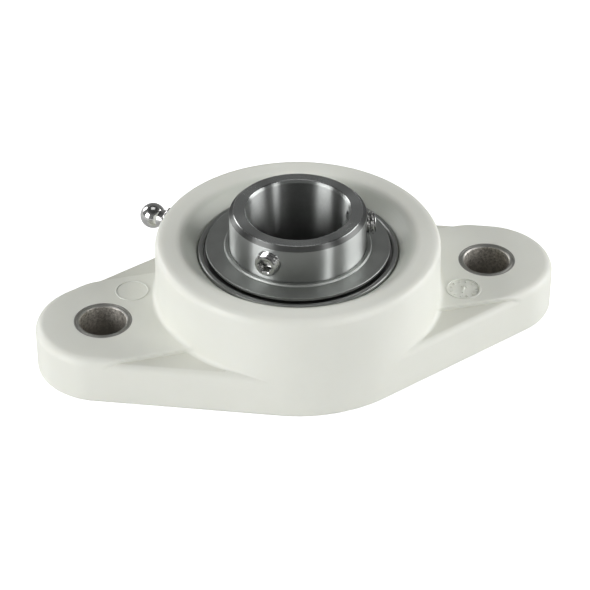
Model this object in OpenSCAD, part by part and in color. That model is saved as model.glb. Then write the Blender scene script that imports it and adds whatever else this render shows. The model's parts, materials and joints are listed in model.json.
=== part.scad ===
// Two-bolt flanged bearing unit: a moulded thermoplastic housing with steel bolt bushes and a
// grease nipple. It holds a self-aligning insert ball bearing, locked to its shaft by set screws.
// Units are millimetres. The origin is the centre of the mounting face, +X runs along the bolt
// line, and +Z runs along the shaft, away from the mounting face.

/* [Housing] */
// Distance between the two bolt centres
bolt_spacing = 99; // [96:0.5:104]
// Radius of the rounded end of each lug
lug_r = 16.6; // [15.8:0.1:17.4]
// Radius of the round body
body_r = 35.4; // [34.8:0.1:36.6]
// Height of the round body above the mounting face
body_h = 28.8; // [28.2:0.1:29.6]
// Height of the flat lug platforms
platform_h = 12.6; // [12:0.1:13.4]
// Height of the flange beside the platforms
flange_h = 11.5; // [11:0.1:11.9]
// Radius of the rounded outer edge of the body
rim_round = 3.5; // [2:0.1:3.9]
// Height of the plane in which the balls run
centre_h = 17; // [16.8:0.1:17.4]

/* [Bolt bushes] */
// Radius of the bolt hole in each bush
bolt_hole_r = 5.75; // [5.25:0.05:6]
// Outer radius of each bush
bush_r = 7.15; // [6.9:0.05:7.4]

/* [Insert bearing] */
// Radius of the shaft bore
bore_r = 12.5; // [12:0.1:12.7]
// Outer radius of the inner ring
hub_r = 16.85; // [16.6:0.05:17]
// Radius of the spherical outside of the outer ring
sphere_r = 26; // [25.8:0.05:26.1]
// Width of the outer ring
outer_ring_w = 17; // [16.6:0.1:17.2]
// How far the inner ring stands above the ball plane
hub_front = 19.8; // [19:0.1:20.4]
// How far the inner ring stands below the ball plane
hub_back = 14.3; // [13.6:0.1:14.6]
// Number of balls
ball_count = 9; // [9:1:9]
// Diameter of each ball
ball_d = 7.938; // [7.9:0.001:7.95]
// Radius of the circle that the ball centres lie on
pitch_r = 19.5; // [19.49:0.01:19.51]

/* [Set screws] */
// Thread diameter of each set screw
set_screw_d = 5.9; // [5.4:0.1:6]
// Length of each set screw
set_screw_len = 5.5; // [5:0.1:6]
// How far each set screw stands out of the inner ring
set_screw_out = 2.1; // [1:0.1:2.4]
// Distance of the set screws below the inner ring's front face
set_screw_drop = 5; // [4.8:0.1:5.2]

/* [Grease nipple] */
// Direction of the nipple, anticlockwise from +X, in degrees
nipple_turn = 135; // [120:1:150]
// Width across the flats of the nipple's hexagon
nipple_hex = 7; // [6.5:0.5:8]
// Diameter of the nipple's head
nipple_head_d = 6.5; // [6:0.1:6.7]

/* [Hidden] */
$fn = 96;
// Overshoot of cutting shapes
over = 1;

// Plan of the housing: each flange wall is tangent to the body and to a lug end
half_spacing = bolt_spacing / 2;
wall_turn = acos((body_r - lug_r) / half_spacing);
platform_half_w = lug_r;

// Front rim of the housing, as radius and height
seat_clearance = 0.05;
seat_r = sphere_r + seat_clearance;
seat_edge_rise = 7.7;
seat_edge_r = sqrt(seat_r * seat_r - seat_edge_rise * seat_edge_rise);
funnel_r = 27.5;
funnel_h = body_h - 1.6;
rim_inner_r = 31;

// Loading slots, through which the insert goes in edge-on from the back
slot_w = outer_ring_w + 0.4;
slot_r = sphere_r + 0.3;

// Greasing: the nipple feeds a groove in the outer ring through this offset plane
grease_offset = 3.5;
grease_h = centre_h + grease_offset;
nipple_thread_r = 3;
nipple_thread_in = 29.6;
nipple_seat = body_r - 0.5;
nipple_hex_len = 3;
nipple_neck_r = 2.3;
nipple_head_at = body_r + 7;
nipple_tip = nipple_head_at + 2.95;
nipple_chamber_r = 1.45;
nipple_chamber_in = 34;
nipple_mouth_r = 0.9;
nipple_mouth_at = nipple_tip - 0.9;
grease_drill_r = 0.9;
nipple_corner_r = nipple_hex / 2 / cos(30);
spot_face_gap = 0.4;
check_ball_r = 1.2;
check_ball_at = nipple_mouth_at - sqrt(check_ball_r * check_ball_r - nipple_mouth_r * nipple_mouth_r) - 0.02;
spring_wire_r = 0.16;
spring_coil_r = 1.05;
spring_turns = 5;
spring_start = nipple_chamber_in + spring_wire_r + 0.02;
spring_end = check_ball_at - check_ball_r - spring_wire_r + 0.3;

// Raised and sunk round mould marks on the two platforms
mark_r = 4.2;
mark_x = 40;
mark_y = 10.3;
mark_step = 0.15;
mark_line_w = 0.35;

// Raceways: grooves a little wider than the balls
ball_r = ball_d / 2;
groove_r = 4.1;
groove_play = 0.031;
inner_groove_at = pitch_r - ball_r - groove_play + groove_r;
outer_groove_at = pitch_r + ball_r + groove_play - groove_r;
ball_step = 360 / ball_count;

// Outer ring bore: lands beside the raceway, then a wider recess for each seal
ring_half_w = outer_ring_w / 2;
land_r = 22.2;
land_half_w = 5.6;
seal_seat_r = 23.2;

// Locating pin, which lies across the ball plane on +X
pin_r = 1.5;
pin_play = 0.05;
pin_inner = 24.2;
pin_outer = 27.3;
pin_end_play = 0.3;
swivel_deg = 3;
pin_travel = sphere_r * sin(swivel_deg) + 0.1;

// Seals: a steel shield with a rubber lip, and a flinger that turns with the inner ring. Their
// faces are measured from the ball plane
shield_inner_r = 18.2;
shield_t = 0.6;
shield_face = 7.4;
lip_gap = 0.05;
flinger_r = 22.7;
flinger_t = 0.8;
flinger_face = 9.4;
flinger_collar_r = 18.1;

// Cage: two pressed half rings with a pocket for each ball, riveted between the pockets
cage_inner_r = 18.1;
cage_outer_r = 20.9;
cage_t = 0.7;
pocket_play = 0.12;
rivet_r = 0.55;
rivet_head_r = 1.0;
rivet_head_h = 0.45;
cage_top = ball_d;

// Set screws, 120 degrees apart
set_screw_turns = [-130, -10];
set_screw_h = centre_h + hub_front - set_screw_drop;
set_screw_hole_r = set_screw_d / 2 + 0.05;
set_screw_outer = hub_r + set_screw_out;
set_screw_socket = 3;
set_screw_socket_deep = 2.4;

// A straight-sided ring between two radii and two heights
module ring(inner_r, outer_r, low, high) {
    rotate_extrude() translate([inner_r, low]) square([outer_r - inner_r, high - low]);
}

// Lays a shape drawn along +Z on its side, so that it points outward at this height and turn
module radial(turn, height) {
    rotate([0, 0, turn]) translate([0, 0, height]) rotate([0, 90, 0]) children();
}

// A hexagonal bar along +Z, measured across its flats
module hex_bar(across_flats, low, high) {
    translate([0, 0, low]) cylinder(h = high - low, r = across_flats / 2 / cos(30), $fn = 6);
}

// The flange's plan: two lug ends, the body and the straight walls tangent to them
module flange_outline() {
    tangent_x = cos(wall_turn);
    tangent_y = sin(wall_turn);
    circle(r = body_r);
    for (side = [-1, 1]) {
        translate([side * half_spacing, 0]) circle(r = lug_r);
        polygon([
            [side * body_r * tangent_x, body_r * tangent_y],
            [side * (half_spacing + lug_r * tangent_x), lug_r * tangent_y],
            [side * (half_spacing + lug_r * tangent_x), -lug_r * tangent_y],
            [side * body_r * tangent_x, -body_r * tangent_y]
        ]);
    }
}

// The flange: a raised platform along the bolt line, with a lower level on either side of it
module flange() {
    difference() {
        linear_extrude(height = platform_h) flange_outline();
        for (side = [-1, 1]) scale([1, side, 1]) {
            translate([-bolt_spacing, platform_half_w, flange_h]) cube([2 * bolt_spacing, body_r, body_h]);
        }
    }
}

// The round body, solid, with its rounded rim
module body_blank() {
    rotate_extrude() {
        square([body_r, body_h - rim_round]);
        square([body_r - rim_round, body_h]);
        translate([body_r - rim_round, body_h - rim_round]) intersection() {
            circle(r = rim_round);
            square([rim_round, rim_round]);
        }
    }
}

// Everything that is hollow inside the body: seat, front funnel, back opening, loading slots
module body_hollow() {
    translate([0, 0, centre_h]) sphere(r = seat_r);
    rotate_extrude() polygon([
        [0, centre_h + seat_edge_rise], [seat_edge_r, centre_h + seat_edge_rise],
        [funnel_r, funnel_h], [rim_inner_r, body_h], [rim_inner_r, body_h + over], [0, body_h + over]
    ]);
    translate([0, 0, -over]) cylinder(h = centre_h + over, r = seat_edge_r);
    intersection() {
        translate([0, 0, -over]) cylinder(h = centre_h + over, r = slot_r);
        translate([-slot_r - over, -slot_w / 2, -over])
            cube([2 * (slot_r + over), slot_w, centre_h + over]);
    }
}

// The groove beside the loading slot on +X that the locating pin slides in
module pin_groove() {
    groove_half_w = pin_r + pin_play;
    groove_deep = pin_outer + pin_end_play - pin_inner;
    translate([pin_inner, -groove_half_w, -over])
        cube([groove_deep, 2 * groove_half_w, centre_h + pin_travel + over]);
    translate([pin_inner, 0, centre_h + pin_travel]) rotate([0, 90, 0])
        cylinder(h = groove_deep, r = groove_half_w);
}

// The grease way into the seat, the nipple's hole and the flat face that its hexagon rests on
module nipple_hole() {
    radial(nipple_turn, grease_h) {
        translate([0, 0, seat_r - 2 * over]) cylinder(h = body_r, r = grease_drill_r);
        translate([0, 0, nipple_thread_in]) cylinder(h = body_r, r = nipple_thread_r);
        translate([0, 0, nipple_seat]) cylinder(h = body_r, r = nipple_corner_r + spot_face_gap);
    }
}

module housing() {
    color("ivory") {
        difference() {
            union() {
                flange();
                body_blank();
            }
            body_hollow();
            pin_groove();
            nipple_hole();
            for (side = [-1, 1]) {
                translate([side * half_spacing, 0, -over]) cylinder(h = platform_h + 2 * over, r = bush_r);
            }
            translate([mark_x, -mark_y, platform_h - mark_step]) cylinder(h = over, r = mark_r);
        }
        translate([-mark_x, mark_y, 0]) ring(mark_r - mark_line_w, mark_r, platform_h, platform_h + mark_step);
    }
}

// A plain steel sleeve with a broken edge at both ends of its bore
module bolt_bush(side) {
    edge = 0.4;
    color("dimgray") translate([side * half_spacing, 0, 0]) rotate_extrude() polygon([
        [bolt_hole_r, edge], [bolt_hole_r + edge, 0], [bush_r, 0], [bush_r, platform_h],
        [bolt_hole_r + edge, platform_h], [bolt_hole_r, platform_h - edge]
    ]);
}

module grease_nipple_body() {
    color("silver") radial(nipple_turn, grease_h) difference() {
        union() {
            translate([0, 0, nipple_thread_in]) cylinder(h = nipple_seat - nipple_thread_in, r = nipple_thread_r);
            hex_bar(nipple_hex, nipple_seat, nipple_seat + nipple_hex_len);
            translate([0, 0, nipple_seat]) cylinder(h = nipple_head_at - nipple_seat, r = nipple_neck_r);
            intersection() {
                translate([0, 0, nipple_head_at]) sphere(r = nipple_head_d / 2);
                cylinder(h = nipple_tip, r = nipple_head_d);
            }
        }
        translate([0, 0, nipple_thread_in - over]) cylinder(h = body_r, r = grease_drill_r);
        translate([0, 0, nipple_chamber_in]) cylinder(h = nipple_mouth_at - nipple_chamber_in, r = nipple_chamber_r);
    }
}

module nipple_ball() {
    color("gainsboro") radial(nipple_turn, grease_h) translate([0, 0, check_ball_at]) sphere(r = check_ball_r);
}

// One point of the spring's coil axis, a fraction of the way along it
function coil_point(part) = [
    spring_coil_r * cos(360 * spring_turns * part),
    spring_coil_r * sin(360 * spring_turns * part),
    spring_start + (spring_end - spring_start) * part
];

// A round wire swept along a list of points by rings that face along the path
module wire(path, wire_r, sides) {
    last = len(path) - 1;
    rings = [
        for (i = [0:last]) let (
            ahead = path[min(i + 1, last)] - path[max(i - 1, 0)],
            along = ahead / norm(ahead),
            out_raw = [path[i][0], path[i][1], 0],
            out = out_raw / norm(out_raw),
            up_raw = cross(along, out),
            up = up_raw / norm(up_raw),
            inward = cross(up, along)
        )
        for (k = [0:sides - 1]) path[i] + wire_r * (cos(360 * k / sides) * inward + sin(360 * k / sides) * up)
    ];
    walls = [
        for (i = [0:last - 1]) for (k = [0:sides - 1]) let (next = (k + 1) % sides)
            [i * sides + k, (i + 1) * sides + k, (i + 1) * sides + next, i * sides + next]
    ];
    ends = [[for (k = [0:sides - 1]) k], [for (k = [sides - 1:-1:0]) last * sides + k]];
    polyhedron(points = rings, faces = concat(walls, ends), convexity = 10);
}

module nipple_spring() {
    rings_per_turn = 12;
    steps = spring_turns * rings_per_turn;
    color("gray") radial(nipple_turn, grease_h)
        wire([for (i = [0:steps]) coil_point(i / steps)], spring_wire_r, 6);
}

module locating_pin() {
    color("silver") translate([pin_inner, 0, centre_h]) rotate([0, 90, 0])
        cylinder(h = pin_outer - pin_inner, r = pin_r);
}

// Outer ring: a ball-shaped outside with a grease groove, and a raceway inside
module outer_ring() {
    chamfer = 0.5;
    lip = 0.35;
    groove_w = 2;
    groove_deep = 0.6;
    color("silver") translate([0, 0, centre_h]) difference() {
        intersection() {
            sphere(r = sphere_r);
            cylinder(h = outer_ring_w, r = sphere_r, center = true);
        }
        cylinder(h = outer_ring_w + over, r = land_r, center = true);
        for (side = [-1, 1]) scale([1, 1, side]) {
            ring(0, seal_seat_r, land_half_w, ring_half_w + over);
            rotate_extrude() polygon([
                [seal_seat_r - over, ring_half_w - lip], [seal_seat_r, ring_half_w - lip],
                [seal_seat_r + chamfer, ring_half_w], [seal_seat_r + chamfer, ring_half_w + over],
                [seal_seat_r - over, ring_half_w + over]
            ]);
        }
        rotate_extrude() translate([outer_groove_at, 0]) circle(r = groove_r);
        ring(sphere_r - groove_deep, sphere_r + over, grease_offset - groove_w / 2, grease_offset + groove_w / 2);
        radial(nipple_turn, grease_offset) cylinder(h = sphere_r + over, r = grease_drill_r);
        radial(0, 0) translate([0, 0, pin_inner]) cylinder(h = sphere_r, r = pin_r + pin_play);
    }
}

// Steel seal carrier, pressed against the step of its seat. Drawn for the front side
module seal_shield(side) {
    color("gray") translate([0, 0, centre_h]) scale([1, 1, side]) rotate_extrude() polygon([
        [seal_seat_r, land_half_w], [seal_seat_r, shield_face], [shield_inner_r, shield_face],
        [shield_inner_r, shield_face - shield_t], [seal_seat_r - shield_t, shield_face - shield_t],
        [seal_seat_r - shield_t, land_half_w]
    ]);
}

// Rubber lip, bonded round the inner edge of its carrier and reaching in to the inner ring
module seal_lip(side) {
    lip_r = hub_r + lip_gap;
    bond_r = shield_inner_r + 0.8;
    edge = 0.5;
    lip_t = 1.5;
    bond_t = 1.2;
    color("saddlebrown") translate([0, 0, centre_h]) scale([1, 1, side]) rotate_extrude() polygon([
        [lip_r, shield_face - lip_t + edge], [lip_r + edge, shield_face - lip_t],
        [bond_r, shield_face - bond_t], [bond_r, shield_face - shield_t],
        [shield_inner_r, shield_face - shield_t], [shield_inner_r, shield_face],
        [lip_r + edge, shield_face], [lip_r, shield_face - edge]
    ]);
}

// Inner ring, extended at the front to carry the two set screws
module inner_ring() {
    bore_edge = 0.6;
    front_edge = 1.1;
    back_edge = 0.6;
    color("lightgray") translate([0, 0, centre_h]) difference() {
        rotate_extrude() difference() {
            polygon([
                [bore_r, bore_edge - hub_back], [bore_r + bore_edge, -hub_back],
                [hub_r - back_edge, -hub_back], [hub_r, back_edge - hub_back],
                [hub_r, hub_front - front_edge], [hub_r - front_edge, hub_front],
                [bore_r + bore_edge, hub_front], [bore_r, hub_front - bore_edge]
            ]);
            translate([inner_groove_at, 0]) circle(r = groove_r);
        }
        for (turn = set_screw_turns) {
            radial(turn, set_screw_h - centre_h) cylinder(h = hub_r + over, r = set_screw_hole_r);
        }
    }
}

// Pressed steel disc that turns with the inner ring and throws dirt off the seal
module flinger(side) {
    edge = 0.25;
    collar_h = 0.5;
    back = flinger_face - flinger_t;
    collar_top = flinger_face + collar_h;
    color("silver") translate([0, 0, centre_h]) scale([1, 1, side]) rotate_extrude() polygon([
        [hub_r, back], [flinger_r - edge, back], [flinger_r, back + edge],
        [flinger_r, flinger_face - edge], [flinger_r - edge, flinger_face],
        [flinger_collar_r, flinger_face], [flinger_collar_r - edge, collar_top],
        [hub_r + edge, collar_top], [hub_r, collar_top - edge]
    ]);
}

// One pressed half of the cage: a flat band, domed round each ball. Drawn for the front side
module cage_half(side) {
    pocket_r = ball_r + pocket_play;
    color("darkkhaki") translate([0, 0, centre_h]) scale([1, 1, side]) difference() {
        intersection() {
            ring(cage_inner_r, cage_outer_r, 0, cage_top);
            union() {
                cylinder(h = cage_t, r = pitch_r + ball_r);
                for (i = [0:ball_count - 1]) {
                    rotate([0, 0, i * ball_step]) translate([pitch_r, 0, 0]) sphere(r = pocket_r + cage_t);
                }
            }
        }
        for (i = [0:ball_count - 1]) {
            rotate([0, 0, i * ball_step]) translate([pitch_r, 0, 0]) sphere(r = pocket_r);
            rotate([0, 0, (i + 0.5) * ball_step]) translate([pitch_r, 0, -over])
                cylinder(h = cage_t + 2 * over, r = rivet_r);
        }
    }
}

// One rivet between each two pockets, headed on both sides
module cage_rivets() {
    color("darkgray") for (i = [0:ball_count - 1]) {
        rotate([0, 0, (i + 0.5) * ball_step]) translate([pitch_r, 0, centre_h]) {
            cylinder(h = 2 * cage_t, r = rivet_r, center = true);
            for (side = [-1, 1]) scale([1, 1, side]) {
                translate([0, 0, cage_t]) cylinder(h = rivet_head_h, r1 = rivet_head_r, r2 = rivet_r);
            }
        }
    }
}

// One ball, counted anticlockwise from +X
module ball(number) {
    color("gainsboro") translate([0, 0, centre_h]) rotate([0, 0, (number - 1) * ball_step])
        translate([pitch_r, 0, 0]) sphere(r = ball_r);
}

// A headless set screw with a hexagon socket and a cup point
module set_screw(index) {
    edge = 0.5;
    cup_r = 1;
    cup_deep = 0.5;
    screw_r = set_screw_d / 2;
    inner = set_screw_outer - set_screw_len;
    color("dimgray") radial(set_screw_turns[index], set_screw_h) difference() {
        rotate_extrude() polygon([
            [0, inner + cup_deep], [cup_r, inner], [screw_r - edge, inner], [screw_r, inner + edge],
            [screw_r, set_screw_outer - edge], [screw_r - edge, set_screw_outer], [0, set_screw_outer]
        ]);
        hex_bar(set_screw_socket, set_screw_outer - set_screw_socket_deep, set_screw_outer + over);
    }
}

housing();
bolt_bush(-1);  // bolt_bush_left
bolt_bush(1);  // bolt_bush_right
grease_nipple_body();
nipple_ball();
nipple_spring();
locating_pin();
outer_ring();
seal_shield(1);  // seal_shield_front
seal_lip(1);  // seal_lip_front
seal_shield(-1);  // seal_shield_back
seal_lip(-1);  // seal_lip_back
inner_ring();
flinger(1);  // flinger_front
flinger(-1);  // flinger_back
cage_half(1);  // cage_front_half
cage_half(-1);  // cage_back_half
cage_rivets();
ball(1);  // ball_1
ball(2);  // ball_2
ball(3);  // ball_3
ball(4);  // ball_4
ball(5);  // ball_5
ball(6);  // ball_6
ball(7);  // ball_7
ball(8);  // ball_8
ball(9);  // ball_9
set_screw(0);  // set_screw_left
set_screw(1);  // set_screw_right
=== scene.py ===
import json
import math

import bpy
import numpy as np
from mathutils import Matrix, Vector


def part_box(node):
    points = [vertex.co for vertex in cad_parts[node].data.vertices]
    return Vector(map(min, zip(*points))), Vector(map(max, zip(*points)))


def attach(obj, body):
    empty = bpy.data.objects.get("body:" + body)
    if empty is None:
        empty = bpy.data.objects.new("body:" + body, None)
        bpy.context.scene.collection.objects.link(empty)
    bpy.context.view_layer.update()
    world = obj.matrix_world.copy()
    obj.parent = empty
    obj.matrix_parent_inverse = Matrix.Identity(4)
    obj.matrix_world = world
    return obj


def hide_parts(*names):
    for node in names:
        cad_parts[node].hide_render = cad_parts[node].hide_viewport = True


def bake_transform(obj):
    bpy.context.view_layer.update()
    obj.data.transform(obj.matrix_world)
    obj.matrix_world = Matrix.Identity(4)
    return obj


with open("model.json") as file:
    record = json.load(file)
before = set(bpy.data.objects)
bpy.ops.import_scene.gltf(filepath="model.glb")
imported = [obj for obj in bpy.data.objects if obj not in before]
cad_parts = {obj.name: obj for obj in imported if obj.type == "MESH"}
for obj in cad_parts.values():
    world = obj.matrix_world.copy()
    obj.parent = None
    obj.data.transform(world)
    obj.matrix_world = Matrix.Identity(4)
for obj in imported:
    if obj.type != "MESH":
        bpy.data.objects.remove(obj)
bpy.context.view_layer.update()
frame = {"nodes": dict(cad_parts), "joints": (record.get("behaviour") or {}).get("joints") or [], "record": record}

# A white two-bolt flange bearing. The housing and the two bearing rings are meshed from distance
# fields, the bushes and flingers are turned profiles, and the set screws, the grease nipple and its
# spring are skins over rings of points. The other pieces keep their CAD shape. Shapes are worked out
# in millimetres in the frame's own axes, and MM turns them into metres when a mesh is made.
MM = 0.001
X, Y, Z = np.eye(3)


# ---- Places and sizes that the frame gives ----

def box_mm(node):
    """Lowest and highest corner of a CAD node, in millimetres."""
    low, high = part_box(node)
    return np.round(np.array(low) / MM, 2), np.round(np.array(high) / MM, 2)


def reach_mm(node, direction):
    """How far a CAD node reaches along a direction, from its nearest to its farthest point."""
    points = np.array([v.co for v in frame["nodes"][node].data.vertices])
    along = points @ np.array(direction) / MM
    return round(along.min(), 2), round(along.max(), 2)


mounts = {m["name"]: m for m in frame["record"]["mounts"]}
joints = {j["name"]: j for j in frame["joints"]}

bolt_holes = mounts["bolt_holes"]["dims"]
housing_low, housing_high = box_mm("housing")
bush_high = box_mm("bolt_bush_left")[1]
inner_low, inner_high = box_mm("inner_ring")

bolt_x = bolt_holes["spacing_x_mm"] / 2
bolt_hole_r = bolt_holes["hole_r_mm"]
bore_r = mounts["shaft_bore"]["dims"]["r_mm"]
body_r, body_h = housing_high[1], housing_high[2]
lug_r = housing_high[0] - bolt_x
platform_h = bush_high[2]
platform_rise = 1.1
flange_h = platform_h - platform_rise
bush_r = bush_high[0] + bolt_x
ball_plane = joints["shaft_spin"]["pos_m"][2] / MM
hub_r = inner_high[0]
hub_low, hub_high = inner_low[2] - ball_plane, inner_high[2] - ball_plane
ring_half_w = box_mm("outer_ring")[1][2] - ball_plane
flinger_r = box_mm("flinger_front")[1][0]
grease_h = mounts["grease_point"]["pos_m"][2] / MM
nipple_way = np.array(mounts["grease_point"]["axis"])


# ---- Distance fields, in millimetres: negative inside, and exact close to the surface ----

def both(a, b, edge=0.0):
    """Where a and b overlap, with the edge between them rounded."""
    outside = np.hypot(np.maximum(a + edge, 0), np.maximum(b + edge, 0))
    return np.minimum(-edge, np.maximum(a, b)) + outside


def either(a, b, fillet):
    """a and b joined, with the corner between them filled to a radius."""
    outside = np.hypot(np.maximum(fillet - a, 0), np.maximum(fillet - b, 0))
    return np.maximum(fillet, np.minimum(a, b)) - outside


def cut(a, b, edge=0.0):
    """a with b taken away, with the edge rounded."""
    return both(a, -b, edge)


def smooth_step(low, high, value):
    """0 up to low, 1 from high, and an even curve between."""
    part = np.clip((value - low) / (high - low), 0, 1)
    return part * part * (3 - 2 * part)


def slope(across, up, corner, fall):
    """Distance above a straight slope through a corner (across, up).

    It falls inward, by an angle in degrees.
    """
    angle = math.radians(fall)
    return (up - corner[1]) * math.cos(angle) + (corner[0] - across) * math.sin(angle)


def drill(points, way, height, radius, start):
    """A round hole from the distance start outward along a level direction, at a height."""
    along = points @ way
    aside = points @ np.cross(Z, way)
    return both(np.hypot(aside, points[..., 2] - height) - radius, start - along)


# ---- Meshing a field by dual contouring ----

def gradient(field, points):
    """Unit gradient of a field, by central differences."""
    nudge, tiny = 0.01, 1e-9
    parts = [field(points + nudge * axis) - field(points - nudge * axis) for axis in (X, Y, Z)]
    change = np.stack(parts, axis=-1)
    return change / np.maximum(np.linalg.norm(change, axis=-1, keepdims=True), tiny)


def to_space(spots, polar):
    """Grid coordinates to x, y, z: a polar grid has turn, radius and height."""
    if not polar:
        return spots
    turn, radius, height = np.moveaxis(spots, -1, 0)
    return np.stack([radius * np.cos(turn), radius * np.sin(turn), height], axis=-1)


def to_grid(points, near, polar):
    """The reverse of to_space, with the turn that lies closest to that of near."""
    if not polar:
        return points
    turn = np.arctan2(points[..., 1], points[..., 0])
    turn += 2 * np.pi * np.round((near[..., 0] - turn) / (2 * np.pi))
    return np.stack([turn, np.hypot(points[..., 0], points[..., 1]), points[..., 2]], axis=-1)


def crossings(field, low, high, polar):
    """Where a field changes sign between two grid spots, by halving."""
    halvings = 12
    low_inside = field(to_space(low, polar)) < 0
    for _ in range(halvings):
        middle = (low + high) / 2
        same = ((field(to_space(middle, polar)) < 0) == low_inside)[:, None]
        low, high = np.where(same, middle, low), np.where(same, high, middle)
    return to_space((low + high) / 2, polar)


def fit_vertices(points, normals, cells, cell_count):
    """One point for each cell, where the tangent planes at its crossings meet.

    A weak pull to the middle of the crossings settles a cell whose planes are all alike.
    """
    softness = 0.01

    def total(values):
        return np.bincount(cells, weights=values, minlength=cell_count)

    number = total(np.ones(len(cells)))
    centre = np.stack([total(points[:, i]) for i in range(3)], axis=1) / number[:, None]
    gap = np.einsum("ij,ij->i", normals, points - centre[cells])
    pull = np.stack([total(normals[:, i] * gap) for i in range(3)], axis=1)
    spread = np.stack([
        np.stack([total(normals[:, i] * normals[:, j]) for j in range(3)], axis=1) for i in range(3)
    ], axis=1)
    spread += softness * number[:, None, None] * np.eye(3)
    return centre + np.linalg.solve(spread, pull[:, :, None])[:, :, 0]


def contour(field, axes, polar=False):
    """Vertices and outward quads of the surface where a field is zero.

    axes holds the grid lines along x, y, z, or of turn, radius and height for a polar grid, whose
    last turn is its first again. Each crossed cell gets one vertex, so edges stay crisp. At the end
    the vertices settle onto the surface, each inside its own cell.
    """
    settlings = 2
    spots = np.stack(np.meshgrid(*axes, indexing="ij"), axis=-1)
    inside = field(to_space(spots, polar)) < 0
    cell_shape = np.array(inside.shape) - 1
    hits, hit_cells, quads = [], [], []
    for axis in range(3):
        step, u, v = np.roll(np.eye(3, dtype=int), -axis, axis=0)
        low_ends = tuple(slice(0, n + 1 - s) for n, s in zip(cell_shape, step))
        high_ends = tuple(slice(s, n + 1) for n, s in zip(cell_shape, step))
        edge = np.argwhere(inside[low_ends] != inside[high_ends])
        if polar and axis != 0:
            edge = edge[edge[:, 0] < cell_shape[0]]
        low, high = spots[tuple(edge.T)], spots[tuple((edge + step).T)]
        hits.append(crossings(field, low, high, polar))
        around = np.stack([edge, edge - u, edge - u - v, edge - v], axis=1)
        if polar:
            around[..., 0] %= cell_shape[0]
        cells = np.ravel_multi_index(tuple(np.moveaxis(around, -1, 0)), tuple(cell_shape))
        outward = inside[tuple(edge.T)][:, None] != polar
        quads.append(np.where(outward, cells, cells[:, ::-1]))
        hit_cells.append(cells)
    hits, hit_cells, quads = np.concatenate(hits), np.concatenate(hit_cells), np.concatenate(quads)
    used, cell_of = np.unique(hit_cells, return_inverse=True)
    points, normals = np.repeat(hits, 4, axis=0), np.repeat(gradient(field, hits), 4, axis=0)
    vertices = fit_vertices(points, normals, cell_of.ravel(), len(used))

    corner = np.stack(np.unravel_index(used, tuple(cell_shape)), axis=1)
    cell_low, cell_high = spots[tuple(corner.T)], spots[tuple((corner + 1).T)]
    for _ in range(settlings):
        seated = np.clip(to_grid(vertices, (cell_low + cell_high) / 2, polar), cell_low, cell_high)
        vertices = to_space(seated, polar)
        vertices = vertices - field(vertices)[:, None] * gradient(field, vertices)
    return vertices, np.searchsorted(used, quads)


def grid_lines(low, high, coarse, fine=()):
    """Grid lines from low to past high. Each fine band is (its start, its end, the step inside it)."""
    lines = [low]
    while lines[-1] < high:
        here = lines[-1]
        steps = [step for start, end, step in fine if start - coarse <= here < end]
        lines.append(here + min(steps, default=coarse))
    return np.array(lines)


# ---- Making pieces ----

def field_normals(vertices, faces, field):
    """A normal for each face corner: the field's gradient just inside the face from that corner."""
    inset = 0.12
    corners = vertices[faces]
    middle = corners.mean(axis=1, keepdims=True)
    return gradient(field, corners + inset * (middle - corners)).reshape(-1, 3)


def add_piece(name, shells, body, material, cad_nodes, place=None, sharp_angle=None):
    """One object from shells of (vertices in mm, faces, corner normals), in place of CAD nodes.
    """
    vertices, faces, normals, start = [], [], [], 0
    for shell_vertices, shell_faces, shell_normals in shells:
        vertices.append(np.asarray(shell_vertices))
        faces += [[int(i) + start for i in face] for face in shell_faces]
        normals.append(shell_normals)
        start += len(shell_vertices)
    mesh = bpy.data.meshes.new(name)
    mesh.from_pydata((np.concatenate(vertices) * MM).tolist(), [], faces)
    mesh.shade_smooth()
    if sharp_angle is None:
        mesh.normals_split_custom_set(np.concatenate(normals).tolist())
    else:
        mesh.set_sharp_from_angle(angle=math.radians(sharp_angle))
    if place is not None:
        mesh.transform(place)
    mesh.materials.append(material)
    piece = bpy.data.objects.new(name, mesh)
    bpy.context.scene.collection.objects.link(piece)
    if isinstance(body, str):
        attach(piece, body)
    else:
        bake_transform(piece)
    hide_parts(*cad_nodes)
    return piece


def radial_place(way, height):
    """Turns a shape drawn outward along +Z so that it points along a level direction, at a height."""
    columns = np.stack([-Z, np.cross(way, -Z), way], axis=1)
    return Matrix.Translation((0, 0, height * MM)) @ Matrix(columns.tolist()).to_4x4()


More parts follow.
